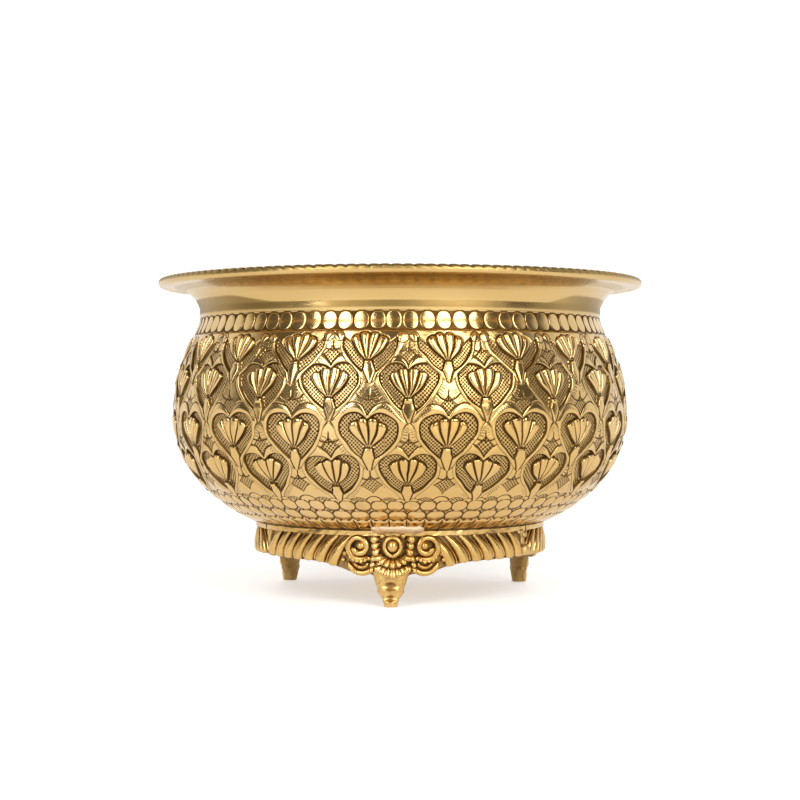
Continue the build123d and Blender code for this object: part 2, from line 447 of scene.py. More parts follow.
def cell_fields():
    """Height and masks of one cell on a fine grid of points.

    The well is a flat sunk ground; the hood rises from its outlines like 1 - e^-d with the distance
    d to the nearer one; each petal is round across and rises towards its tip; grooves are narrow
    bell-shaped cuts along the outlines.
    """
    xs = np.arange(-CELL_X, CELL_X + CELL_STEP, CELL_STEP)
    ys = np.arange(CELL_LOW, CELL_HIGH + CELL_STEP, CELL_STEP)
    x, y = np.meshgrid(xs, ys, indexing="ij")

    def distance_to(*curves):
        """Distance to a mirrored outline, less than 0 inside it, and the run along it."""
        right = np.concatenate([curve_through(c)[:-1] for c in curves] + [np.array(curves[-1][-1:])])
        ring = mirrored(right)
        far, run = nearest_on(x, y, np.concatenate([ring, ring[:1]]))
        return np.where(inside(x, y, ring), -far, far), run

    to_well, _ = distance_to(WELL_LOBE, WELL_SIDE, WELL_FOOT)
    to_hood, hood_run = distance_to(HOOD_LOBE, HOOD_SIDE)

    # Hood: rounded strap between the two outlines.
    between = np.minimum(to_well, -to_hood)
    strap = 1.0 - np.exp(-np.maximum(between, 0) / 2.2)
    height = GROUND + 0.6 * strap * (0.7 + 0.3 * smooth(-12, 6, y))

    # Stem from the collar down: a ridge between two grooves that run together below the well.
    stem_half = np.interp(y, [-22.0, -14.0, -8.2], [0.7, 3.5, 2.4])
    stem = smooth(-7.4, -8.4, y) * smooth(stem_half + 0.3, stem_half - 0.2, np.abs(x))
    stem_ridge = np.clip(1 - (x / stem_half) ** 2, 0, 1)
    height = height * (1 - stem) + stem * (0.6 + 0.5 * stem_ridge**0.6)
    stem_line = bell((np.abs(x) - stem_half) / GROOVE) * smooth(-13.2, -14.0, y) * (y > -21)
    collar = sum(
        bell((y - level) / 0.6) * smooth(half + 0.7, half - 0.3, np.abs(x))
        for level, half in ((-7.9, 2.9), (-9.6, 2.4))
    )

    # Well and flower.
    floor = -0.9 * smooth(0.15, -0.7, to_well)
    sunk = np.minimum(height, 0.3) * smooth(-0.4, 0.15, to_well) + floor
    height = np.where(to_well < 0.15, sunk, height)
    rho = np.hypot(x, y - FAN_APEX)
    turn = np.degrees(np.arctan2(x, y - FAN_APEX))
    turn = turn * (1 - 0.13 * np.sin(np.pi * np.clip(rho / 17.5, 0, 1)))
    fan = np.full(x.shape, -9.0)
    petal_height = np.zeros(x.shape)
    petal_line = np.full(x.shape, 9.0)
    for start, stop, tip, skew in zip(FAN_EDGES[:-1], FAN_EDGES[1:], FAN_TIPS, FAN_SKEWS):
        mid, half = (start + stop) / 2, (stop - start) / 2
        u = (turn - mid) / half
        reach = tip - 0.95 * np.abs(u - skew) ** 2.4
        side = np.radians(half * (1 - np.abs(u))) * rho
        depth = np.minimum(np.minimum(reach - rho, rho - FAN_START), side)
        fan = np.maximum(fan, depth)
        crown = np.clip(1 - np.abs(u) ** 3.2, 0, 1) ** 0.75
        climb = 1.25 * smooth(0.0, 14.0, rho)
        tip_fall = round_edge((reach - rho) / 2.6)
        body = climb * crown * (0.5 + 0.5 * tip_fall) - 0.3 * (1 - crown)
        petal_height = np.where(np.abs(u) <= 1, body, petal_height)
        petal_line = np.minimum(petal_line, np.where(depth > -0.8, np.abs(side), 9.0))
    whole = smooth(-0.2, 0.35, fan)
    height = blend(height, petal_height + 0.05, whole)
    height += 0.45 * collar

    # Four-pointed star in the gap above the cell.
    star_x, star_y = np.abs(x / STAR_SIZE[0]), np.abs((y - STAR_CENTRE) / STAR_SIZE[1])
    star = 1 - (star_x**STAR_POWER + star_y**STAR_POWER)
    arm = bell(x / 0.32) * smooth(17, 18, y) * smooth(25, 23, y)
    leaf = sum(
        bell(nearest_on(x, y, curve_through(STAR_LEAF) * np.array([side, 1]))[0] / LINE_WIDTH)
        for side in (-1, 1)
    )
    ground = -0.3 * smooth(-0.02, 0.12, star) - 0.18 * (arm + leaf)

    hood_line = 0.7 * smooth(2.0, 6.0, y) * bell(to_hood / (GROOVE * 0.85))
    lines = np.maximum(np.maximum(bell(to_well / GROOVE), hood_line), stem_line)
    fan_line = bell((fan + 0.15) / 0.36) * (to_well < 0.5)
    petal_groove = bell(petal_line / 0.32) * smooth(2.0, 3.5, rho) * smooth(-0.5, 0.6, fan + 0.4)
    lines = np.maximum(lines, np.maximum(0.8 * fan_line, petal_groove))
    height -= LINE_DEPTH * lines

    in_well = smooth(-0.25, -0.7, to_well) * (1 - smooth(-0.6, -0.1, fan))
    in_well *= 1 - smooth(0.25, 0.5, collar)
    star_line = bell((star + 0.02) / 0.06)
    hatch = smooth(0.35, 0.7, to_hood) * smooth(3.6, 2.4, to_hood)
    hatch = hatch * smooth(6, 2, y) * smooth(-19.5, -16, y) * np.where(x > 0, 1.0, 0.55)
    return {
        "height": height,
        "ground": ground,
        "hood": to_hood,
        "stipple": in_well,
        "star": smooth(0.03, 0.1, star),
        "line": lines,
        "ground_line": np.maximum(0.8 * star_line, np.maximum(arm, np.minimum(leaf, 1.0))),
        "hatch": hatch,
        "run": hood_run,
        "fan": np.maximum(smooth(-0.7, -0.3, fan), smooth(0.2, 0.5, collar) * (y < -5)),
    }


CELL = cell_fields()


def read_cell(name, x, y):
    """Value of one of the cell's fields between its grid points."""
    table = CELL[name]
    fx = np.clip((x + CELL_X) / CELL_STEP, 0, table.shape[0] - 1.001)
    fy = np.clip((y - CELL_LOW) / CELL_STEP, 0, table.shape[1] - 1.001)
    i, j = fx.astype(int), fy.astype(int)
    a, b = fx - i, fy - j
    return (
        table[i, j] * (1 - a) * (1 - b)
        + table[i + 1, j] * a * (1 - b)
        + table[i, j + 1] * (1 - a) * b
        + table[i + 1, j + 1] * a * b
    )


ROW_ARCS = [arc_at(h) for h in ROW_HEIGHTS]
BAND_ARC = (arc_at(BAND_LOW), arc_at(BAND_HIGH))
BASE_ARCS = [arc_at(h) for h in BASE_ROW_EDGES]

# The flare's lower end is straightened into a plain neck: the slope this adds, and the offset it sums to.
NECK_SLOPE = np.where(
    (ARC > arc_at(NECK_FLAT[0])) & (ARC < arc_at(NECK_FLAT[1])),
    -(ARC - arc_at(NECK_HEIGHT)) / FLARE_RADIUS,
    0.16 * (ARC > BAND_ARC[1]) * (ARC < arc_at(NECK_FLAT[0])),
)
NECK_SLOPE = np.convolve(NECK_SLOPE, np.ones(5) / 5, mode="same")
NECK_SHAPE = np.cumsum(NECK_SLOPE) * (ARC[1] - ARC[0])


def hand(azimuth, arc):
    """How far handwork has drifted from the setting-out, in millimetres across and up."""
    across = 0.85 * wall_noise(5, azimuth, arc, 46.0) + 0.36 * wall_noise(8, azimuth, arc, 13.0)
    up = 0.75 * wall_noise(6, azimuth, arc, 52.0) + 0.36 * wall_noise(9, azimuth, arc, 14.0)
    return across, up


def belt(azimuth, arc):
    """Relief of the embossed belt: each row's cells lie over those of the row below it."""
    across, up = hand(azimuth, arc)
    height = np.full(azimuth.shape, GROUND)
    stipple, line, hatch, run = (np.zeros(azimuth.shape) for _ in range(4))
    pitch = 2 * math.pi / COLUMNS

    def cell_place(row_turn, row_arc):
        offset = (azimuth - math.radians(row_turn) + pitch / 2) % pitch - pitch / 2
        return offset * UNROLL_RADIUS + across, arc - row_arc + up

    # The ground's stars, one row of them below the lowest flowers as well.
    low_star = (ROW_TURNS[0], ROW_ARCS[3] - LOW_STAR_DROP - STAR_CENTRE)
    for row_turn, row_arc in list(zip(ROW_TURNS, ROW_ARCS)) + [low_star]:
        x, y = cell_place(row_turn, row_arc)
        near = (y > 7) & (y < 26)
        height = np.where(near, height + read_cell("ground", x, y), height)
        stipple = np.where(near, np.maximum(stipple, read_cell("star", x, y)), stipple)
        line = np.where(near, np.maximum(line, read_cell("ground_line", x, y)), line)

    for index in (3, 2, 1, 0):
        x, y = cell_place(ROW_TURNS[index], ROW_ARCS[index])
        reach = (y > CELL_LOW + 1) & (y < 18.5)
        hood = np.where(reach, read_cell("hood", x, y), 9.0)
        cover = smooth(0.1, -0.35, hood)
        own = read_cell("height", x, y)
        own_stipple = read_cell("stipple", x, y)
        own_line = read_cell("line", x, y)
        if index == 0:
            # The top row runs up under the beads: the well ends in points, and above it all is plain.
            open_top = smooth(0.7, -0.7, y - 3.4 - 0.75 * (np.abs(x) - 13.0))
            fan = read_cell("fan", x, y)
            own = own * open_top + (1 - open_top) * (fan * own + (1 - fan) * GROUND)
            own_stipple = own_stipple * open_top
            own_line = own_line * np.maximum(open_top, fan)
            height = height + (GROUND - height) * smooth(1.5, 6.5, y)
        height = blend(height, own, cover)
        stipple = blend(stipple, own_stipple, cover)
        edge = np.where(reach, bell(hood / LINE_WIDTH), 0)
        edge = edge * (0.45 + 0.45 * smooth(2.0, 6.0, y)) * (1.0 if index else smooth(1.5, -2.0, y))
        line = np.maximum(line * (1 - cover), np.maximum(own_line * cover, edge))
        height -= LINE_DEPTH * edge * (1 - cover)
        strokes = np.where(reach, read_cell("hatch", x, y), 0)
        patches = smooth(-0.35, 0.25, wall_noise(21 + index, azimuth, arc, 19.0))
        hatch = np.maximum(hatch * (1 - cover), strokes * patches)
        run = np.where(strokes > 0.01, read_cell("run", x, y), run)

    # Heart-shaped cusps between the fans of the top row.
    x, y = cell_place(ROW_TURNS[1], ROW_ARCS[0])
    lobe = np.hypot(np.abs(x) - 3.2, y - 6.0) / 3.2
    above = smooth(2.6, 4.4, y + 0.35 * np.abs(x)) * smooth(9.0, 8.2, np.abs(x))
    line = np.maximum(line, 0.8 * bell((lobe - 1) * 3.2 / LINE_WIDTH) * above)
    height += 0.25 * np.clip(1 - lobe**2, 0, 1) * (y > 1)

    # Low arcs over the upper row of base beads: plain ones at the gaps, stippled ones beside them.
    floor_arc = BASE_ARCS[2]
    x, _ = cell_place(ROW_TURNS[0], 0)
    for centre, half, rise, dotted in LOW_ARCS:
        d = np.hypot((x - centre) / half, (arc - floor_arc) / rise)
        span = (arc > floor_arc - 1) & (d < 1.4)
        cap = np.clip(1 - d**2, 0, 1) ** 0.5
        low = smooth(1.04, 0.98, d)
        raised = 0.2 if dotted else 0.3 + 0.5 * cap
        height = np.where(span, height * (1 - low) + low * raised, height)
        stipple = np.where(span, stipple * (1 - low) + dotted * smooth(0.95, 0.85, d), stipple)
        line = np.where(span, np.maximum(line * (1 - low), bell((d - 1) / 0.08) * 0.9), line)
        hatch = np.where(span, hatch * (1 - low), hatch)

    top_arc = BAND_ARC[0]
    ends = smooth(floor_arc - 0.2, floor_arc + 0.9, arc) * smooth(top_arc + 0.2, top_arc - 0.9, arc)
    height = height * ends - 0.1 * (1 - ends)
    line = np.maximum(line * ends, 0.9 * (1 - ends) * smooth(top_arc - 1.2, top_arc, arc))
    height += 0.16 * wall_noise(12, azimuth, arc, 21.0)
    return {
        "height": height,
        "stipple": stipple,
        "patina": line,
        "hatch": hatch,
        "run": run,
        "across": azimuth * UNROLL_RADIUS + across,
        "up": arc + up,
    }


def beads(azimuth, arc, low, high, count, rise, seed, squash=1.0):
    """A row of punched beads: half of an ellipsoid each, ringed by an engraved line."""
    place = azimuth * count / (2 * math.pi)
    index = np.floor(place)
    # A fixed number from 0 to 1 for each bead, from the far digits of a sine.
    jitter = np.sin(index * 12.9898 + seed) * 43758.5453
    jitter = jitter - np.floor(jitter)
    pitch = 2 * math.pi * np.interp((low + high) / 2, ARC, PROFILE_R) / count
    x = (place - index - 0.5) * pitch + 0.25 * (jitter - 0.5)
    middle = (low + high) / 2 + 0.35 * np.sin(index * 2.4 + seed) * (jitter - 0.3)
    half_x, half_y = 0.49 * pitch, 0.47 * (high - low) * squash * (1 + 0.04 * (jitter - 0.5))
    d = (np.abs(x / half_x) ** 2.3 + np.abs((arc - middle) / half_y) ** 2.3) ** (1 / 2.3)
    dome = np.clip(1 - (x / half_x) ** 2 - ((arc - middle) / half_y) ** 2, 0, 1)
    ring = bell((d - 1.03) / 0.075)
    tilt = 0.11 * (jitter - 0.5) * x * smooth(1.0, 0.9, d)
    return rise * (1 + 0.12 * (jitter - 0.5)) * dome + tilt - 0.28 * ring, ring, d


def bead_band(azimuth, arc):
    """The band of beads under the neck: a sunk ground round them, and a line along each border."""
    low, high = BAND_ARC
    height, ring, d = beads(azimuth, arc, low + 0.7, high - 0.5, BAND_BEADS, 0.22, 1.3, 1.09)
    ground = smooth(1.0, 1.12, d)
    margin = np.minimum(arc - low, high - arc)
    border = bell((margin - 0.75) / 0.3) * ground
    height = height - 0.3 * ground * smooth(0.2, 1.0, margin) - 0.1 * border
    dirt = np.maximum(0.55 * ground * smooth(0.3, 1.2, margin), 0.8 * border)
    return {"height": height, "patina": np.maximum(ring, dirt)}


def base_band(azimuth, arc):
    """Two rows of flat beads, larger in the lower one, then tongues that run in under the bowl."""
    low_1, low_2, high = BASE_ARCS
    upper, upper_ring, _ = beads(azimuth, arc, low_2, high, BASE_ROW_BEADS[1], 0.6, 2.1, 1.03)
    lower, lower_ring, _ = beads(azimuth, arc, low_1, low_2 + 0.3, BASE_ROW_BEADS[0], 0.65, 4.4, 1.06)
    height = np.where(arc > low_2, upper, lower)
    ring = np.where(arc > low_2, upper_ring, lower_ring)
    ring = np.maximum(ring, bell((arc - low_2) / 0.5) * 0.5)
    place = (azimuth * BASE_ROW_BEADS[0] / (2 * math.pi)) % 1.0
    depth = low_1 - arc
    tongue = np.abs(place - 0.5) * 2
    tongue_dome = np.sqrt(np.clip(1 - tongue**2.6, 0, 1))
    tongue_height = 0.75 * tongue_dome * smooth(34, 4, depth)
    tongue_line = bell(((1 - tongue) * 5.0) / 0.42) * smooth(30, 18, depth)
    below = smooth(-0.4, 0.5, depth)
    height = blend(height, tongue_height - 0.2 * tongue_line, below)
    ring = np.maximum(ring * (1 - below), tongue_line * below)
    # Painted shadow of the brackets' ledge on the bowl just above it, carried with the patina of the
    # lines.
    painted_ledge_shadow = smooth(LEDGE_SHADOW[1], LEDGE_SHADOW[0], arc)
    return {"height": height, "patina": np.maximum(ring, painted_ledge_shadow)}


LIP_CREASE = 6.5  # arc from the lip's end to the crease round it
RUBBED_AND_LIT = ((-21, 4.5, 0.85), (37, 6, 0.75))  # degrees, half width and share of the gaps in the neck's dark band: partly rubbed brass, partly painted highlight
UNDER_LIP_REFLECTION_RADII = (132.8, 133.6, 139.5, 141.5)  # radii over which the painted dark reflection under the lip comes and goes


def plain_field(azimuth, arc):
    """Turned surface: low waves left by the spinning tool, wide soft dents, and a band of tarnish and
    painted dark reflection.

    The band lies in the neck, climbs at the sides and has two gaps, partly rubbed brass and partly
    painted highlight. A second, fainter ring under the lip is painted dark reflection.
    """
    waves = 0.05 * np.sin(arc / 2.3) + 0.03 * np.sin(arc / 0.9 + 1.2)
    dents = 0.05 * wall_noise(31, azimuth, arc, 60.0)
    crease = bell((arc - ARC[-1] + LIP_CREASE) / 0.5)
    neck = np.interp(arc, ARC, NECK_SHAPE)
    low, high = arc_at(NECK_FLAT[0]), arc_at(NECK_FLAT[1])
    turn = (np.degrees(azimuth) + 180) % 360 - 180
    rubbed_and_lit = sum(share * bell((turn - middle) / half) for middle, half, share in RUBBED_AND_LIT)
    climb = 5.5 * (smooth(-28, -50, turn) + smooth(44, 58, turn)) * smooth(115, 80, np.abs(turn))
    patchy = 1 + 0.2 * wall_noise(33, azimuth, 3.0 * arc, 70.0)
    # Dark band in the neck: partly tarnish, partly painted dark reflection. Its climbs and its gaps
    # follow the streaks of that reflection.
    tarnish_and_reflection = smooth(low - 0.6, low + 0.8, arc) * smooth(high + climb + 0.8, high + climb - 1.2, arc)
    tarnish_and_reflection = 0.6 * patchy * (1 - rubbed_and_lit) * tarnish_and_reflection
    out = np.interp(arc, ARC, PROFILE_R)
    start, full, fading, stop = UNDER_LIP_REFLECTION_RADII
    # Painted dark reflection on the flare's underside, below the lip.
    under_lip_reflection = 0.36 * smooth(start, full, out) * smooth(stop, fading, out) * (arc > high)
    patina = np.maximum(0.15 * crease, np.maximum(tarnish_and_reflection, under_lip_reflection))
    return {"height": waves + dents + neck - 0.12 * crease, "patina": patina, "run": arc}


# ---------------------------------------------------------------- materials


class Value:
    """One output inside a material, so that shader maths reads as ordinary arithmetic."""

    def __init__(self, graph, socket):
        self.graph, self.socket = graph, socket

    def math(self, operation, *others):
        return self.graph.math(operation, self, *others)

    def __add__(self, other):
        return self.math("ADD", other)

    __radd__ = __add__

    def __sub__(self, other):
        return self.math("SUBTRACT", other)

    def __rsub__(self, other):
        return self.graph.math("SUBTRACT", other, self)

    def __mul__(self, other):
        return self.math("MULTIPLY", other)

    __rmul__ = __mul__

    def sine(self):
        return self.math("SINE")

    def most(self, other):
        return self.math("MAXIMUM", other)

    def ramp(self, start, stop):
        """0 at start and 1 at stop, smooth between them."""
        return self.graph.node(
            "ShaderNodeMapRange",
            {"interpolation_type": "SMOOTHSTEP"},
            {"Value": self, "From Min": start, "From Max": stop, "To Min": 0.0, "To Max": 1.0},
        )


class Graph:
    """The nodes of one material."""

    def __init__(self, name):
        self.material = bpy.data.materials.new(name)
        self.material.use_nodes = True
        self.tree = self.material.node_tree
        self.tree.nodes.clear()

    def node(self, kind, settings=None, values=None, output=0):
        made = self.tree.nodes.new(kind)
        for key, value in (settings or {}).items():
            setattr(made, key, value)
        for key, value in (values or {}).items():
            if isinstance(value, Value):
                self.tree.links.new(value.socket, made.inputs[key])
            else:
                made.inputs[key].default_value = value
        return Value(self, made.outputs[output]) if made.outputs else None

    def math(self, operation, *inputs):
        return self.node("ShaderNodeMath", {"operation": operation}, dict(enumerate(inputs)))

    def attribute(self, name):
        kind = {"attribute_type": "GEOMETRY", "attribute_name": name}
        return self.node("ShaderNodeAttribute", kind, output="Fac")

    def place(self):
        return self.node("ShaderNodeTexCoord", output="Object")

    def vector(self, x, y, z):
        return self.node("ShaderNodeCombineXYZ", values={0: x, 1: y, 2: z})

    def split(self, vector):
        made = self.tree.nodes.new("ShaderNodeSeparateXYZ")
        self.tree.links.new(vector.socket, made.inputs[0])
        return [Value(self, s) for s in made.outputs]

    def noise(self, place, scale, detail=4.0, roughness=0.55, distortion=0.0):
        values = {"Vector": place, "Scale": scale, "Detail": detail}
        values |= {"Roughness": roughness, "Distortion": distortion}
        return self.node("ShaderNodeTexNoise", values=values)

    def mix(self, share, a, b):
        """Colour a at 0, colour b at 1."""
        return self.node(
            "ShaderNodeMix",
            {"data_type": "RGBA", "blend_type": "MIX", "clamp_factor": True},
            {0: share, 6: a, 7: b},
            output=2,
        )

    def output(self, shader):
        self.node("ShaderNodeOutputMaterial", values={"Surface": shader})
        return self.material

    def finish(self, colour, roughness, metallic, bumps):
        """Principled surface. bumps is a list of (height, strength, distance in metres)."""
        normal = None
        for height, strength, distance in bumps:
            values = {"Height": height, "Strength": strength, "Distance": distance}
            if normal:
                values["Normal"] = normal
            normal = self.node("ShaderNodeBump", values=values)
        values = {"Base Color": colour, "Roughness": roughness, "Metallic": metallic, "Normal": normal}
        return self.output(self.node("ShaderNodeBsdfPrincipled", values=values))


BRASS_LIGHT = (0.69, 0.48, 0.215, 1)
BRASS_WARM = (0.60, 0.385, 0.135, 1)
BRASS_DEEP = (0.36, 0.20, 0.045, 1)
# Dark brown of the chased brass: patina in the lines and dots, the painted shadow above the brackets'
# ledge, and the inside's stains.
PATINA_AND_SHADE = (0.085, 0.042, 0.009, 1)
# Dark of the turned brass: tarnish in the rope's nicks and the neck, and the painted dark reflection in
# the neck and under the lip.
TARNISH_AND_REFLECTION = (0.15, 0.085, 0.012, 1)
SATIN_LIGHT = (0.62, 0.425, 0.175, 1)
SATIN_WARM = (0.56, 0.365, 0.13, 1)
CAST_LIGHT = (0.66, 0.44, 0.17, 1)
CAST_WARM = (0.54, 0.33, 0.10, 1)
CAST_DIRT = (0.095, 0.045, 0.009, 1)
STEEL = (0.45, 0.45, 0.46, 1)
RUST = (0.22, 0.11, 0.06, 1)
WHITE_PAPER = (1.1, 1.1, 1.1, 1)
DIM_ROOM = (0.13, 0.12, 0.1, 1)
WARM_AIR = (1.0, 0.93, 0.78, 1)
STIPPLE_PITCH = 1.58
HATCH_PITCH = 1.5


def embossed_brass():
    """Chased sheet brass: bright on the high spots, brown patina in the lines and punched dots, and a
    painted ledge shadow.
    """
    g = Graph("chased_brass")
    place = g.place()
    patina = g.attribute("patina")
    stipple = g.attribute("stipple").ramp(0.25, 0.75)
    hatch = g.attribute("hatch")
    wobble = g.noise(place, 160.0, 2.0) * 1.6 - 0.8
    across = g.attribute("across") + wobble * 0.45
    up = g.attribute("up") - wobble * 0.45
    wave = 2 * math.pi / (STIPPLE_PITCH * math.sqrt(2))
    dots = ((across + up) * wave).sine() + ((across - up) * wave).sine()
    dot = (dots * 0.5).ramp(-0.04, 0.36)
    pit = dot * stipple
    run = g.attribute("run") + wobble * 0.5
    strokes = (run * (2 * math.pi / HATCH_PITCH)).sine().ramp(0.35, 0.9) * hatch.ramp(0.2, 0.7)
    large = g.noise(place, 9.0, 3.0)
    medium = g.noise(place, 55.0, 4.0)
    fine = g.noise(place, 900.0, 3.0)
    body = g.mix(large.ramp(0.35, 0.7), BRASS_LIGHT, BRASS_WARM)
    body = g.mix(medium.ramp(0.55, 0.8) * 0.35, body, BRASS_DEEP)
    dark = (patina.ramp(0.08, 0.5) * 0.97).most(pit).most(strokes * 0.75).most(stipple * 0.12)
    dark = dark * (0.8 + 0.4 * medium)
    colour = g.mix(dark, body, PATINA_AND_SHADE)
    roughness = 0.09 + 0.12 * medium + 0.35 * dark + 0.04 * large + 0.1 * stipple
    x, y, z = g.split(place)
    scratches = g.noise(g.vector(x * 3.0, y * 3.0, z), 700.0, 3.0)
    bumps = [
        (pit * -1.0, 1.0, 0.0006),
        (strokes * -1.0, 0.9, 0.00022),
        (medium, 0.4, 0.0009),
        (scratches + fine * 0.6, 0.25, 0.00006),
    ]
    return g.finish(colour, roughness, 1.0, bumps)


def turned_brass():
    """Spun and satin-polished brass: fine lines run round it, with faint smears."""
    g = Graph("turned_brass")
    place = g.place()
    x, y, _ = g.split(place)
    run = g.attribute("run")
    patina = g.attribute("patina")
    rings = g.noise(g.vector(x * 1.5, y * 1.5, run * 0.9), 1.0, 5.0, 0.7)
    fine = g.noise(g.vector(x * 6.0, y * 6.0, run * 6.0), 1.0, 3.0, 0.6)
    large = g.noise(place, 8.0, 3.0)
    smear = g.noise(place, 40.0, 4.0, 0.6, 0.6)
    body = g.mix(large.ramp(0.3, 0.7), SATIN_LIGHT, SATIN_WARM)
    body = g.mix(rings.ramp(0.55, 0.8) * 0.3, body, BRASS_DEEP)
    dark = (patina.ramp(0.1, 0.9) * 0.85) + smear.ramp(0.62, 0.85) * 0.12
    # The dark share paints tarnish, and the painted dark reflection in the neck and under the lip.
    colour = g.mix(dark, body, TARNISH_AND_REFLECTION)
    roughness = 0.12 + 0.09 * rings + 0.1 * smear + 0.3 * dark
    bumps = [(rings, 0.5, 0.00012), (fine, 0.35, 0.00004), (smear, 0.15, 0.0002)]
    return g.finish(colour, roughness, 1.0, bumps)


def inner_brass():
    """The bowl's inside: the same sheet, duller, with water stains and turning lines."""
    g = Graph("inner_brass")
    place = g.place()
    x, y, z = g.split(place)
    large = g.noise(place, 14.0, 5.0, 0.6, 0.4)
    medium = g.noise(place, 70.0, 4.0)
    rings = g.noise(g.vector(x * 2.0, y * 2.0, z * 500.0), 1.0, 4.0, 0.65)
    body = g.mix(large.ramp(0.35, 0.7), BRASS_WARM, BRASS_DEEP)
    colour = g.mix(medium.ramp(0.55, 0.85) * 0.4, body, PATINA_AND_SHADE)
    roughness = 0.3 + 0.2 * large + 0.12 * rings
    return g.finish(colour, roughness, 0.95, [(rings, 0.4, 0.0001), (medium, 0.3, 0.0003)])


def cast_brass():
    """Sand-cast brass, buffed on the high spots and brown in the hollows."""
    g = Graph("cast_brass")
    place = g.place()
    relief = g.attribute("relief")
    sand = g.noise(place, 1500.0, 3.0, 0.65)
    grain = g.noise(place, 420.0, 4.0, 0.6)
    large = g.noise(place, 30.0, 3.0)
    body = g.mix(large.ramp(0.35, 0.7), CAST_LIGHT, CAST_WARM)
    body = g.mix(grain.ramp(0.5, 0.8) * 0.45, body, BRASS_DEEP)
    hollow = 1.0 - relief.ramp(0.1, 0.75)
    dark = hollow * (0.55 + 0.5 * grain)
    colour = g.mix(dark * 0.92, body, CAST_DIRT)
    roughness = 0.2 + 0.15 * grain + 0.3 * dark
    return g.finish(colour, roughness, 1.0 - 0.15 * dark, [(grain, 0.4, 0.0003), (sand, 0.35, 0.00012)])


def braze_metal(name, fresh, old, burnt):
    """Lumpy braze, burnt darker in patches."""
    g = Graph(name)
    place = g.place()
    lumps = g.noise(place, 260.0, 4.0)
    flux = g.noise(place, 90.0, 5.0, 0.65, 0.5)
    pores = g.noise(place, 1400.0, 2.0)
    body = g.mix(flux.ramp(0.4, 0.75), fresh, old)
    colour = g.mix(lumps.ramp(0.6, 0.85) * 0.4, body, burnt)
    bumps = [(lumps, 0.6, 0.0004), (pores, 0.4, 0.0001)]
    return g.finish(colour, 0.34 + 0.2 * lumps, 0.82 + 0.1 * flux, bumps)


def steel_wire():
    """Drawn wire: fine grey lines along it, a little rust."""
    g = Graph("steel_wire")
    place = g.place()
    rust = g.noise(place, 120.0, 5.0, 0.6)
    lines = g.noise(place, 900.0, 2.0)
    rusted = rust.ramp(0.55, 0.75)
    colour = g.mix(rusted, STEEL, RUST)
    return g.finish(colour, 0.35 + 0.3 * rust, 1.0 - 0.5 * rusted, [(lines, 0.4, 0.0001)])


CHASED = embossed_brass()
TURNED = turned_brass()
INNER = inner_brass()
CAST = cast_brass()
BRAZE, JOINT_BRAZE = (
    braze_metal(name, (*fresh, 1), (*old, 1), (*burnt, 1))
    for name, fresh, old, burnt in (
        ("pale_braze", (0.80, 0.66, 0.47), (0.66, 0.50, 0.30), (0.30, 0.19, 0.10)),
        ("brassy_braze", (0.60, 0.42, 0.17), (0.40, 0.26, 0.10), (0.20, 0.12, 0.05)),
    )
)
WIRE = steel_wire()

# ---------------------------------------------------------------- the bowl

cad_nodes["rim_wire"].data.materials.clear()
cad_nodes["rim_wire"].data.materials.append(WIRE)

for index in range(PANELS):
    start = 2 * math.pi * index / PANELS
    stop = start + 2 * math.pi / PANELS
    panel = slab(start, stop, PANEL_COLUMNS, BASE_ARCS[2], BAND_ARC[0], PANEL_ROWS, belt)
    make_piece(f"bowl_relief_{index + 1:02d}", panel, [CHASED, INNER], ["bowl"])

TONGUE_START = arc_at(BASE_ROW_EDGES[0]) - 28.0
# Name, columns, arcs from and to, rows, relief and outer finish of each piece that runs all round.
for name, columns, arc_start, arc_stop, rows, field, finish in (
    ("bowl_bead_band", 1720, *BAND_ARC, 26, bead_band, CHASED),
    ("bowl_base_beads", 1280, TONGUE_START, BASE_ARCS[2], 58, base_band, CHASED),
    ("bowl_flare", 720, BAND_ARC[1], ARC[-1], 64, plain_field, TURNED),
):
    ring = slab(0, 2 * math.pi, columns, arc_start, arc_stop, rows, field, wrap=True)
    make_piece(name, ring, [finish, INNER], ["bowl"])


def turned_disc(arc_stop):
    """The bowl's plain bottom as one closed plate: rings round the axis, with a point on each face."""
    n, rows = 180, 28
    arcs = np.linspace(3.0, arc_stop, rows)
    u, v = np.meshgrid(round_turns(n), arcs, indexing="ij")
    under = on_bowl(u, v, 0.06 * np.sin(v / 2.1)).reshape(-1, 3)
    over = on_bowl(u, v, -WALL - INNER_STEP + 0 * v).reshape(-1, 3)
    poles = np.array([[0, 0, FLOOR_HEIGHT], [0, 0, FLOOR_HEIGHT + WALL + INNER_STEP]])
    start = np.arange(n) * rows
    after = np.roll(start, -1)
    upper, pole = n * rows, 2 * n * rows
    faces = grid_faces(n, rows - 1, wrap=True)
    edge = np.stack([start, after, after + upper, start + upper], 1) + rows - 1
    low_fan = np.stack([np.full(n, pole), after, start], 1)
    high_fan = np.stack([np.full(n, pole + 1), start + upper, after + upper], 1)
    run = np.concatenate([v.ravel(), v.ravel(), [0, 0]])
    faces = [faces, (faces[:, ::-1] + upper, 1), edge, low_fan, (high_fan, 1)]
    return Shape(np.concatenate([under, over, poles]), faces, {"run": run})


make_piece("bowl_floor", turned_disc(TONGUE_START + 0.02), [TURNED, INNER], ["bowl"])


RIM_NICKS = 150
NICK_DEPTH = 0.3  # share of the roll's radius


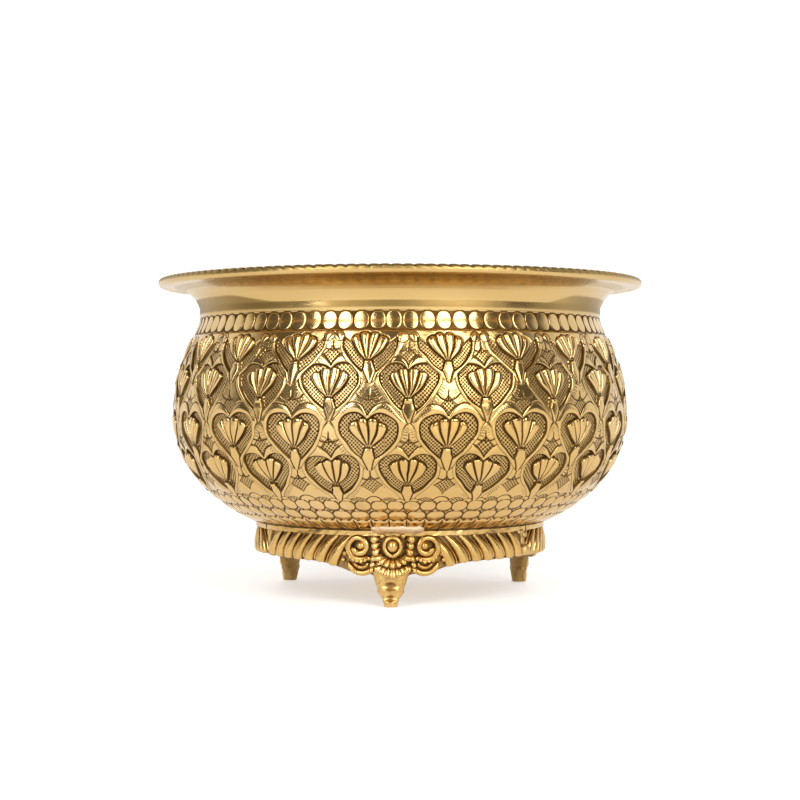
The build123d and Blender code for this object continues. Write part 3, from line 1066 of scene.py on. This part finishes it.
def rope_rim():
    """Ring of round section whose top is nicked aslant all round, like a rope.

    The section's radius is R (1 - depth (1 - dome) top): the dome is 1 in the middle of each raised
    turn and 0 in the nick between two, and the angle round the section leads its phase on.
    """
    columns, turns = 1800, 26
    u, v = np.meshgrid(round_turns(columns), round_turns(turns), indexing="ij")
    nick = u * RIM_NICKS / (2 * math.pi)
    phase = (nick + 0.32 * np.sin(v)) % 1.0
    dome = np.sqrt(np.clip(1 - (2 * np.abs(phase - 0.5)) ** 2.4, 0, 1))
    top = smooth(-0.1, 0.6, np.sin(v))
    uneven = 1 + 0.25 * np.sin(np.floor(nick) * 3.7)
    r = ROLL_RADIUS * (1 - NICK_DEPTH * (1 - dome) * top * uneven) + 0.05 * np.sin(5 * u + 2 * v)
    ring_r = RIM_RADIUS - ROLL_RADIUS + r * np.cos(v)
    z = TOTAL_HEIGHT - ROLL_RADIUS + r * np.sin(v)
    # The roll's outer face, below its nicked top, is darkened all round, besides the patina in the nicks.
    sides = 0.62 * smooth(-0.25, 0.15, np.sin(v)) * smooth(0.98, 0.8, np.sin(v))
    patina = np.maximum(smooth(0.8, 0.1, dome) * top, sides)
    faces = [grid_faces(columns, turns, wrap=True, close=True)]
    values = {"patina": patina.ravel(), "run": (v * ROLL_RADIUS).ravel()}
    return Shape(place_round(ring_r, u, z), faces, values)


make_piece("bowl_rolled_rim", rope_rim(), [TURNED], ["bowl"])

# ---------------------------------------------------------------- cast brackets
# Built flat: x runs along the ring (mm at RING_RADIUS), y is the height and z the radius.

RING_RADIUS = 88.0
FOOT_TURNS = {"front": 0.0, "right": 120.0, "left": 240.0}
CORNER_TURNS = {"right": 60.0, "back": 180.0, "left": 300.0}
BRACKET_HALF = math.radians(59.6) * RING_RADIUS
FACE_RADIUS = 88.6  # at which the ornament's roots lie
LEDGE_LOW, LEDGE_HIGH = 40.6, 43.5
APRON_BACK, APRON_FRONT, LEDGE_FRONT = 84.0, 86.9, 90.0
SCROLL_PLACE = (19.2, 34.2)
ORNAMENT_DRIFT = 1.3  # the pattern's ornament sits this far to the right of its leg
FLUTES = 7
FLUTE_START = 35.0
FLUTE_PITCH = 8.5
FLUTE_TOP = 40.9


def bend_round(turn):
    """Change that wraps a flat casting round the ring, centred on an azimuth in degrees."""

    def change(p):
        return place_round(p[:, 2], math.radians(turn) + p[:, 0] / RING_RADIUS, p[:, 1])

    return change


def swept(path, half_width, half_height, turns=12):
    """Closed round-ended bar along a path: each cross-section is an ellipse, half_width along the
    casting's face and half_height out of it; both are arrays along the path."""
    tangent = unit(np.gradient(path, axis=0))
    side = unit(np.cross(tangent, np.array([0.0, 0.0, 1.0])))
    out = unit(np.cross(side, tangent))
    a = round_turns(turns)
    rings = (
        path[:, None]
        + side[:, None] * (half_width[:, None] * np.cos(a))[..., None]
        + out[:, None] * (half_height[:, None] * np.sin(a))[..., None]
    )
    points = np.concatenate([rings.reshape(-1, 3), path[:1], path[-1:]])
    relief = np.concatenate([np.tile(0.5 + 0.5 * np.sin(a), len(path)), [0.3, 0.3]])
    return Shape(points, pointed_tube(len(path), turns), {"relief": relief})


def end_taper(t, start=0.12, stop=0.12):
    """1 along the middle, falling like a circle's edge to nothing at both ends."""
    return round_edge(t / start) * round_edge((1 - t) / stop) + 1e-3


def ball(centre, radii, rings=12, turns=18):
    """Closed ellipsoid on a grid of latitude and longitude, with a point at each pole."""
    a = np.linspace(-math.pi / 2, math.pi / 2, rings + 1)[1:-1]
    a, b = np.meshgrid(a, round_turns(turns), indexing="ij")
    body = np.stack([np.cos(a) * np.cos(b), np.cos(a) * np.sin(b), np.sin(a)], -1).reshape(-1, 3)
    body = np.concatenate([body, [[0, 0, -1], [0, 0, 1]]])
    faces = flipped(pointed_tube(rings - 1, turns))
    return Shape(body * np.array(radii) + np.array(centre), faces, {"relief": 0.5 + 0.5 * body[:, 2]})


def petal(root, turn, length, half_width, radius, rise, curl=1.6):
    """A cast petal: a bar that swells towards a round tip, its tip lifted and its middle creased."""
    t = np.linspace(0, 1, 14)
    a = math.radians(turn)
    run = length * t
    x = root[0] + run * math.sin(a)
    y = root[1] - run * math.cos(a)
    z = radius + rise * np.sin(math.pi * 0.55 * t) + curl * t**3
    width = half_width * (0.35 + 0.65 * smooth(0, 0.7, t)) * end_taper(t, 0.1, 0.22)
    return swept(np.stack([x, y, z], 1), width, width * 0.62, 14)


def arc_bar(centre, radius, start, stop, half_width, radius_out, height, count=26):
    """Round-ended bar along an arc of a circle in the casting's face."""
    t = np.linspace(0, 1, count)
    a = np.radians(start + (stop - start) * t)
    path = np.column_stack([on_circle(centre, radius, a), np.full(count, radius_out)])
    taper = end_taper(t, 0.2, 0.2)
    return swept(path, half_width * taper, height * taper)


def scroll(side):
    """C-scroll: an arm that winds in on itself with r falling evenly with the angle, and ends in a bulb.

    Below it, curls of leaf lie in a broad lip that hangs under the casting's edge.
    """
    t = np.linspace(0, 1, 60)
    a = np.radians(-140 + 500 * t)
    r = 7.9 - 5.2 * t**0.9
    cx, cy = SCROLL_PLACE
    path = np.stack([side * (cx + r * np.cos(a)), cy + r * np.sin(a), 88.6 + 2.4 * t], 1)
    taper = end_taper(t, 0.1, 0.04)
    shapes = [swept(path, (2.15 - 0.5 * t) * taper, (2.6 - 0.4 * t) * taper, 16)]
    shapes.append(ball((side * (cx - 1.3), cy + 0.9, 91.0), (2.3, 2.2, 2.2)))
    lip = (side * (cx - 1.0), 27.2)
    shapes.append(arc_bar(lip, 8.2, 188, 352, 1.75, 87.2, 2.6, 30))
    shapes.append(arc_bar(lip, 4.6, 200, 340, 1.2, 88.2, 2.3, 30))
    for k, turn in enumerate((-62, -34, -8, 18, 44, 66)):
        root = (side * (cx - 0.5 + 0.03 * turn), 29.4 + 0.3 * (k % 2))
        shapes.append(petal(root, side * turn, 4.6, 1.15, FACE_RADIUS, 1.7, 1.0))
    for x, y, size in ((28.2, 30.2, 1.7), (29.3, 26.6, 1.5), (11.8, 26.6, 1.6), (27.0, 33.6, 1.3)):
        shapes.append(ball((side * x, y, 88.1), (size, size * 0.9, size * 1.2), 10, 14))
    return shapes


def flutes(side):
    """Ribs that start as points under the ledge, sweep outwards and turn down into broad round ends."""
    shapes = []
    t = np.linspace(0, 1, 32)
    swell = smooth(0.0, 0.7, t)
    taper = end_taper(t, 0.05, 0.12)
    # A broad rib, then the thin one beside it. Shift and shortening of its foot, half width, height,
    # share of the apron's bulge that it follows, and sides.
    ribs = (
        (0.0, 1.0, 1.1 + 2.0 * swell, 1.1 + 1.3 * swell, 1.0, 14),
        (0.5, 2.4, 0.3 + 0.5 * swell, 0.5 + 0.5 * swell, 0.55, 8),
    )
    for k in range(FLUTES):
        foot_x = FLUTE_START + FLUTE_PITCH * k
        low = float(apron_low(np.array(foot_x))) - 1.1
        for shift, short, half, tall, proud, sides in ribs:
            x = foot_x + shift * FLUTE_PITCH - (13.0 - 0.5 * k) * (1 - t) ** 1.7
            y = FLUTE_TOP - (FLUTE_TOP - low - short) * t
            bulge = 1 - ((y - 32) / 14) ** 2
            z = APRON_FRONT - 0.2 + (0.4 + 1.5 * bulge) * proud
            if x[-1] + half[-1] <= BRACKET_HALF:
                shapes.append(swept(np.stack([side * x, y, z], 1), half * taper, tall * taper, sides))
    return shapes


def plate(low_at, high, back, front, half, columns, rows, seed=3):
    """Closed plate across the bracket: its section is a rounded strip from low_at(x) up to high."""
    xs = np.linspace(-half, half, columns + 1)
    steps = [k / rows for k in range(1, rows)]
    side = [(back, 0.0), (front - 0.7, 0.0), (front, 0.03)] + [(front, s) for s in steps]
    side += [(front, 0.98), (front - 0.5, 1.0), (back, 1.0)] + [(back, 1 - s) for s in steps]
    line = np.array(side)
    n = len(line)
    x, k = np.meshgrid(xs, np.arange(n), indexing="ij")
    low = low_at(x)
    y = low + (high - low) * line[k, 1]
    faces_out = line[k, 0] > back + 0.5
    r = line[k, 0] + 0.2 * soft_noise(seed, x, y * 1.7, 5.0) * faces_out
    points = np.stack([x, y + 0.12 * soft_noise(seed + 1, x, y, 8.0), r], -1).reshape(-1, 3)
    faces = [grid_faces(columns, n, close=True), *end_caps(columns + 1, n)]
    return Shape(points, faces, {"relief": np.where(faces_out, 0.22, 0.55).ravel()})


def apron_low(x):
    """Lower edge of the casting: it drops from the flutes to the scrolls' lower lips and the foot."""
    places = [0, 9, 12, 19, 25, 29, 33, 45, 92]
    return np.interp(np.abs(x), places, [15, 16.6, 18.4, 18.9, 19.6, 21.0, 22.2, 24.6, 25.4])


FOOT_CUPS = ((12.3, 6.2, 3.6, 1.7), (5.2, 4.2, 2.5, 1.3))  # height, half width, half height, depth


def leg():
    """The foot: rounded sections of changing width up the height, with two cups sunk in its front.

    The front's radius moves out by two ring-shaped ridges, each round a shallow dish.
    """
    rows, turns = 70, 56
    v = np.linspace(0, 1, rows)
    z = 26.0 * v
    half_at = [0, 1.6, 4.5, 7.0, 8.2, 9.8, 12.5, 16.6, 21, 26]
    half = np.interp(z, half_at, [3.9, 4.1, 5.2, 7.0, 7.9, 7.6, 8.6, 9.8, 11.2, 9.5])
    depth = np.interp(z, [0, 2, 6, 10, 14, 20, 26], [4.4, 4.5, 4.2, 4.1, 4.2, 4.0, 3.4])
    centre = np.interp(z, [0, 4, 9, 15, 26], [86.6, 86.0, 86.2, 86.8, 86.6])
    zz, aa = np.meshgrid(z, round_turns(turns), indexing="ij")
    x = half[:, None] * np.sign(np.cos(aa)) * np.abs(np.cos(aa)) ** 0.85
    out = np.sin(aa)
    front = smooth(0.15, 0.7, out)
    relief = np.zeros(x.shape)
    for cup_z, rx, rz, deep in FOOT_CUPS:
        d = np.hypot(x / rx, (zz - cup_z) / rz)
        ridge = 0.9 * bell((d - 1.0) / 0.22) * smooth(0.9, -0.4, (zz - cup_z) / rz)
        relief += ridge - deep * smooth(0.85, 0.1, d)
    relief += 0.4 * bell((zz - 1.6) / 0.8)
    r = centre[:, None] + depth[:, None] * np.sign(out) * np.abs(out) ** 0.85 + front * relief
    shade = np.clip(0.3 + (0.5 + 0.5 * relief) * front, 0, 1)
    faces = [tube(rows, turns), *end_caps(rows, turns)]
    return Shape(np.stack([x, zz, r], -1), faces, {"relief": shade.ravel()})


CABOCHON_HEIGHT = 34.9
# Leaves beside the cabochon: place across and up, degrees off straight down, length, half width.
SIDE_LEAVES = (
    (6.4, 39.2, 82, 6.0, 2.1),
    (6.6, 36.6, 64, 5.6, 2.0),
    (6.6, 33.8, 50, 5.8, 2.1),
    (5.8, 31.0, 32, 5.0, 1.8),
    (10.2, 31.2, 8, 5.0, 1.9),
    (2.4, 40.8, 88, 4.6, 1.3),
)


def cabochon():
    """Domed oval in a raised ring that is drawn to a point at its lower end, with leaves beside it."""
    shapes = [ball((0, CABOCHON_HEIGHT, 91.6), (3.0, 3.4, 2.8), 16, 28)]
    t = np.linspace(0, 1, 61)[:-1]
    a = 2 * math.pi * t
    stretch = 1 + 0.14 * np.clip(-np.sin(a), 0, 1) ** 4
    path = np.stack([4.5 * np.cos(a), CABOCHON_HEIGHT + 4.9 * np.sin(a) * stretch, 91.0 + 0 * a], 1)
    path = np.concatenate([path, path[:1]])
    width = np.full(len(path), 1.25)
    shapes.append(swept(path, width, width * 1.4, 10))
    for side in (-1, 1):
        for x, y, turn, length, half in SIDE_LEAVES:
            shapes.append(petal((side * x, y), side * turn, length, half, FACE_RADIUS, 1.8, 1.2))
    return shapes


def palmette():
    """Two rows of petals that spread downwards over the top of the foot."""
    shapes = []
    for turn in (-78, -52, -26, 0, 26, 52, 78):
        shapes.append(petal((0.09 * turn * 0.5, 28.8), turn, 6.4, 1.5, FACE_RADIUS, 2.2))
    for turn in (-63, -42, -21, 0, 21, 42, 63):
        length = 8.4 - 0.03 * abs(turn)
        shapes.append(petal((0.075 * turn, 24.6), turn * 0.8, length, 2.15, 88.4, 2.6, 1.4))
    for side in (-1, 1):
        for x, y, turn, length in ((9.8, 27.4, 30, 5.6), (11.6, 24.2, 8, 4.8)):
            shapes.append(petal((side * x, y), side * turn, length, 1.4, 88.0, 1.5, 0.8))
    return shapes


def bracket():
    """All of one casting, flat."""
    apron = plate(apron_low, LEDGE_LOW + 0.4, APRON_BACK, APRON_FRONT, BRACKET_HALF, 190, 12)
    size = (LEDGE_HIGH - 0.1, APRON_BACK, LEDGE_FRONT, BRACKET_HALF)
    ledge = plate(lambda x: np.full_like(x, LEDGE_LOW), *size, 190, 3, seed=9)
    ledge.values["relief"] = np.full(len(ledge.points), 0.9)
    ornament = joined(scroll(-1) + scroll(1) + cabochon() + palmette())
    ornament = ornament.moved(lambda p: p + np.array([ORNAMENT_DRIFT, 0, 0]))
    return joined([apron, ledge, *flutes(-1), *flutes(1), ornament, leg()])


casting = bracket()
for name, turn in FOOT_TURNS.items():
    shape = casting.moved(bend_round(turn))
    make_piece(f"cast_bracket_{name}", shape, [CAST], [f"foot_bracket_{name}"], sharp=50)

# ---------------------------------------------------------------- braze

BRAZE_DRIFT = 2.7  # degrees that each run of braze sits to the right of its foot
BRAZE_RADIUS, BRAZE_HEIGHT = 93.4, 44.5
BRAZE_HALF_WIDE, BRAZE_HALF_TALL = 4.6, 1.3
BRAZE_SLOPE = math.radians(27)


def lump(turn_mid, half_turn, seed):
    """Braze along the ledge: a ridge under the bowl, its width and height drifting along it."""
    t = np.linspace(0, 1, 90)
    a = math.radians(turn_mid) + math.radians(half_turn) * (2 * t - 1)
    swell = end_taper(t, 0.1, 0.1) * (1 + 0.16 * soft_noise(seed, t * 40, 0 * t, 9.0))
    turns = 14
    aa, bb = np.meshgrid(a, round_turns(turns), indexing="ij")
    along = BRAZE_HALF_WIDE * swell[:, None] * np.cos(bb)
    off = BRAZE_HALF_TALL * swell[:, None] * np.sin(bb)
    lean_in, lean_up = math.cos(BRAZE_SLOPE), math.sin(BRAZE_SLOPE)
    r = BRAZE_RADIUS + along * lean_in + off * lean_up
    z = BRAZE_HEIGHT + along * lean_up - off * lean_in + 0.15 * soft_noise(seed + 1, aa * 90, bb, 6.0)
    faces = flipped([grid_faces(len(t) - 1, turns, close=True), *end_caps(len(t), turns)])
    return Shape(place_round(r, aa, z), faces)


for index, (name, turn) in enumerate(FOOT_TURNS.items()):
    shape = lump(turn + BRAZE_DRIFT, 9.4, 60 + index)
    make_piece(f"braze_bowl_{name}", shape, [BRAZE], [f"bowl_braze_{name}"])


def corner_lump(turn_mid, blob, seed):
    """Braze down the joint between two castings: a ragged run that widens upwards, or one with a blob."""
    t = np.linspace(0, 1, 46)
    y = 25.2 + 17.6 * t
    shapes = []
    for lean, wide in ((-1.0, 1.0), (1.0, 0.8), (0.0, 1.3)):
        drift = 0.45 * soft_noise(seed + 3 + int(lean), y, 0 * y, 8.0)
        swell = end_taper(t, 0.1, 0.06) * (1 + 0.25 * soft_noise(seed + 7 + int(lean), y, 0 * y, 6.0))
        z = APRON_FRONT - 0.4 + 0.8 * np.sin(math.pi * t) + 0.2 * soft_noise(seed + 5, y, 0 * y, 5.0)
        path = np.stack([lean * 2.6 * t**1.4 + drift, y, z], 1)
        shapes.append(swept(path, wide * swell, 1.35 * swell, 12))
    if blob:
        shapes.append(ball((-1.4, 29.2, 90.2), (3.6, 3.5, 3.0), 16, 24))
        shapes.append(ball((-5.2, 40.2, 89.4), (3.2, 1.6, 1.7), 12, 20))
        shapes.append(ball((0.6, 38.0, 88.6), (2.4, 2.0, 1.6), 12, 20))
    return joined(shapes).moved(bend_round(turn_mid))


for index, (name, turn) in enumerate(CORNER_TURNS.items()):
    shape = corner_lump(turn, name == "right", 70 + 3 * index)
    make_piece(f"braze_joint_{name}", shape, [JOINT_BRAZE], [f"joint_braze_{name}"])

# ---------------------------------------------------------------- studio


def stage_mesh(name, points, faces, material):
    """Part of the studio, in metres, which is no part of the pot."""
    mesh = bpy.data.meshes.new(name)
    mesh.from_pydata(points, [], faces)
    mesh.materials.append(material)
    add_object(name, mesh)


def floor_material():
    """Pale floor, lit through from below so that shadows on it stay faint."""
    g = Graph("pale_floor")
    values = {
        "Base Color": (0.8, 0.8, 0.8, 1),
        "Roughness": 0.6,
        "Emission Color": (1, 1, 1, 1),
        "Emission Strength": 0.42,
    }
    return g.output(g.node("ShaderNodeBsdfPrincipled", values=values))


def backdrop_material():
    """White paper behind the bowl that falls off smoothly to a dim room in front of it."""
    g = Graph("white_backdrop")
    behind = g.split(g.place())[1].ramp(-0.6, 0.67)
    colour = g.mix(behind, DIM_ROOM, WHITE_PAPER)
    return g.output(g.node("ShaderNodeEmission", values={"Color": colour, "Strength": 1.0}))


# Metres
STAGE_RADIUS = 20.0
WALL_RADIUS, WALL_HEIGHT = 2.6, 3.2

floor_turns = np.radians(np.arange(0, 360, 5))
floor_points = [(STAGE_RADIUS * math.sin(t), STAGE_RADIUS * math.cos(t), -0.0003) for t in floor_turns]
floor_face = list(range(len(floor_turns)))[::-1]
stage_mesh("studio_floor", floor_points, [floor_face], floor_material())

wall_turns = np.radians(np.arange(0, 360, 4))
wall_points = [
    (WALL_RADIUS * math.sin(t), -WALL_RADIUS * math.cos(t), z)
    for t in wall_turns
    for z in (-0.0004, WALL_HEIGHT)
]
count = len(wall_points)
wall_faces = [(i, (i + 2) % count, (i + 3) % count, i + 1) for i in range(0, count, 2)]
stage_mesh("studio_backdrop", wall_points, wall_faces, backdrop_material())


def softbox(name, turn, elevation, distance, width, height, power):
    """Area light that faces the bowl from an azimuth and elevation in degrees."""
    data = bpy.data.lights.new(name, "AREA")
    data.shape = "RECTANGLE"
    data.size, data.size_y = width, height
    data.energy = power
    a, e = math.radians(turn), math.radians(elevation)
    target = Vector((0, 0, TOTAL_HEIGHT * MM / 2))
    level = math.cos(e)
    place = target + distance * Vector((math.sin(a) * level, -math.cos(a) * level, math.sin(e)))
    light = add_object(name, data)
    light.location = place
    light.rotation_mode = "QUATERNION"
    light.rotation_quaternion = (place - target).to_track_quat("Z", "Y")


# Azimuth and elevation, then distance, width and height in metres, and watts.
softbox("softbox_left", -31.0, 27, 2.0, 0.85, 1.5, 23.5)
softbox("softbox_right", 33.0, 27, 2.0, 1.2, 1.5, 32)
softbox("softbox_top", 180, 86, 1.9, 1.2, 1.2, 1.2)

world = bpy.data.worlds.new("studio")
world.use_nodes = True
background = world.node_tree.nodes["Background"]
background.inputs["Color"].default_value = WARM_AIR
background.inputs["Strength"].default_value = 0.12
bpy.context.scene.world = world
bpy.context.scene.view_settings.view_transform = "Standard"

CAMERA_TURN = math.radians(3.5)
CAMERA_DISTANCE = 1.0275
EYE_HEIGHT = 0.1243
camera_data = bpy.data.cameras.new("camera")
camera_data.sensor_width = 36.0
camera_data.lens = 73.7
camera_data.shift_y = -0.0125
camera_data.clip_start = 0.05
camera_data.clip_end = 50.0
camera = add_object("camera", camera_data)
camera.location = (
    CAMERA_DISTANCE * math.sin(CAMERA_TURN),
    -CAMERA_DISTANCE * math.cos(CAMERA_TURN),
    EYE_HEIGHT,
)
camera.rotation_mode = "XYZ"
camera.rotation_euler = (math.pi / 2, 0, CAMERA_TURN)
bpy.context.scene.camera = camera
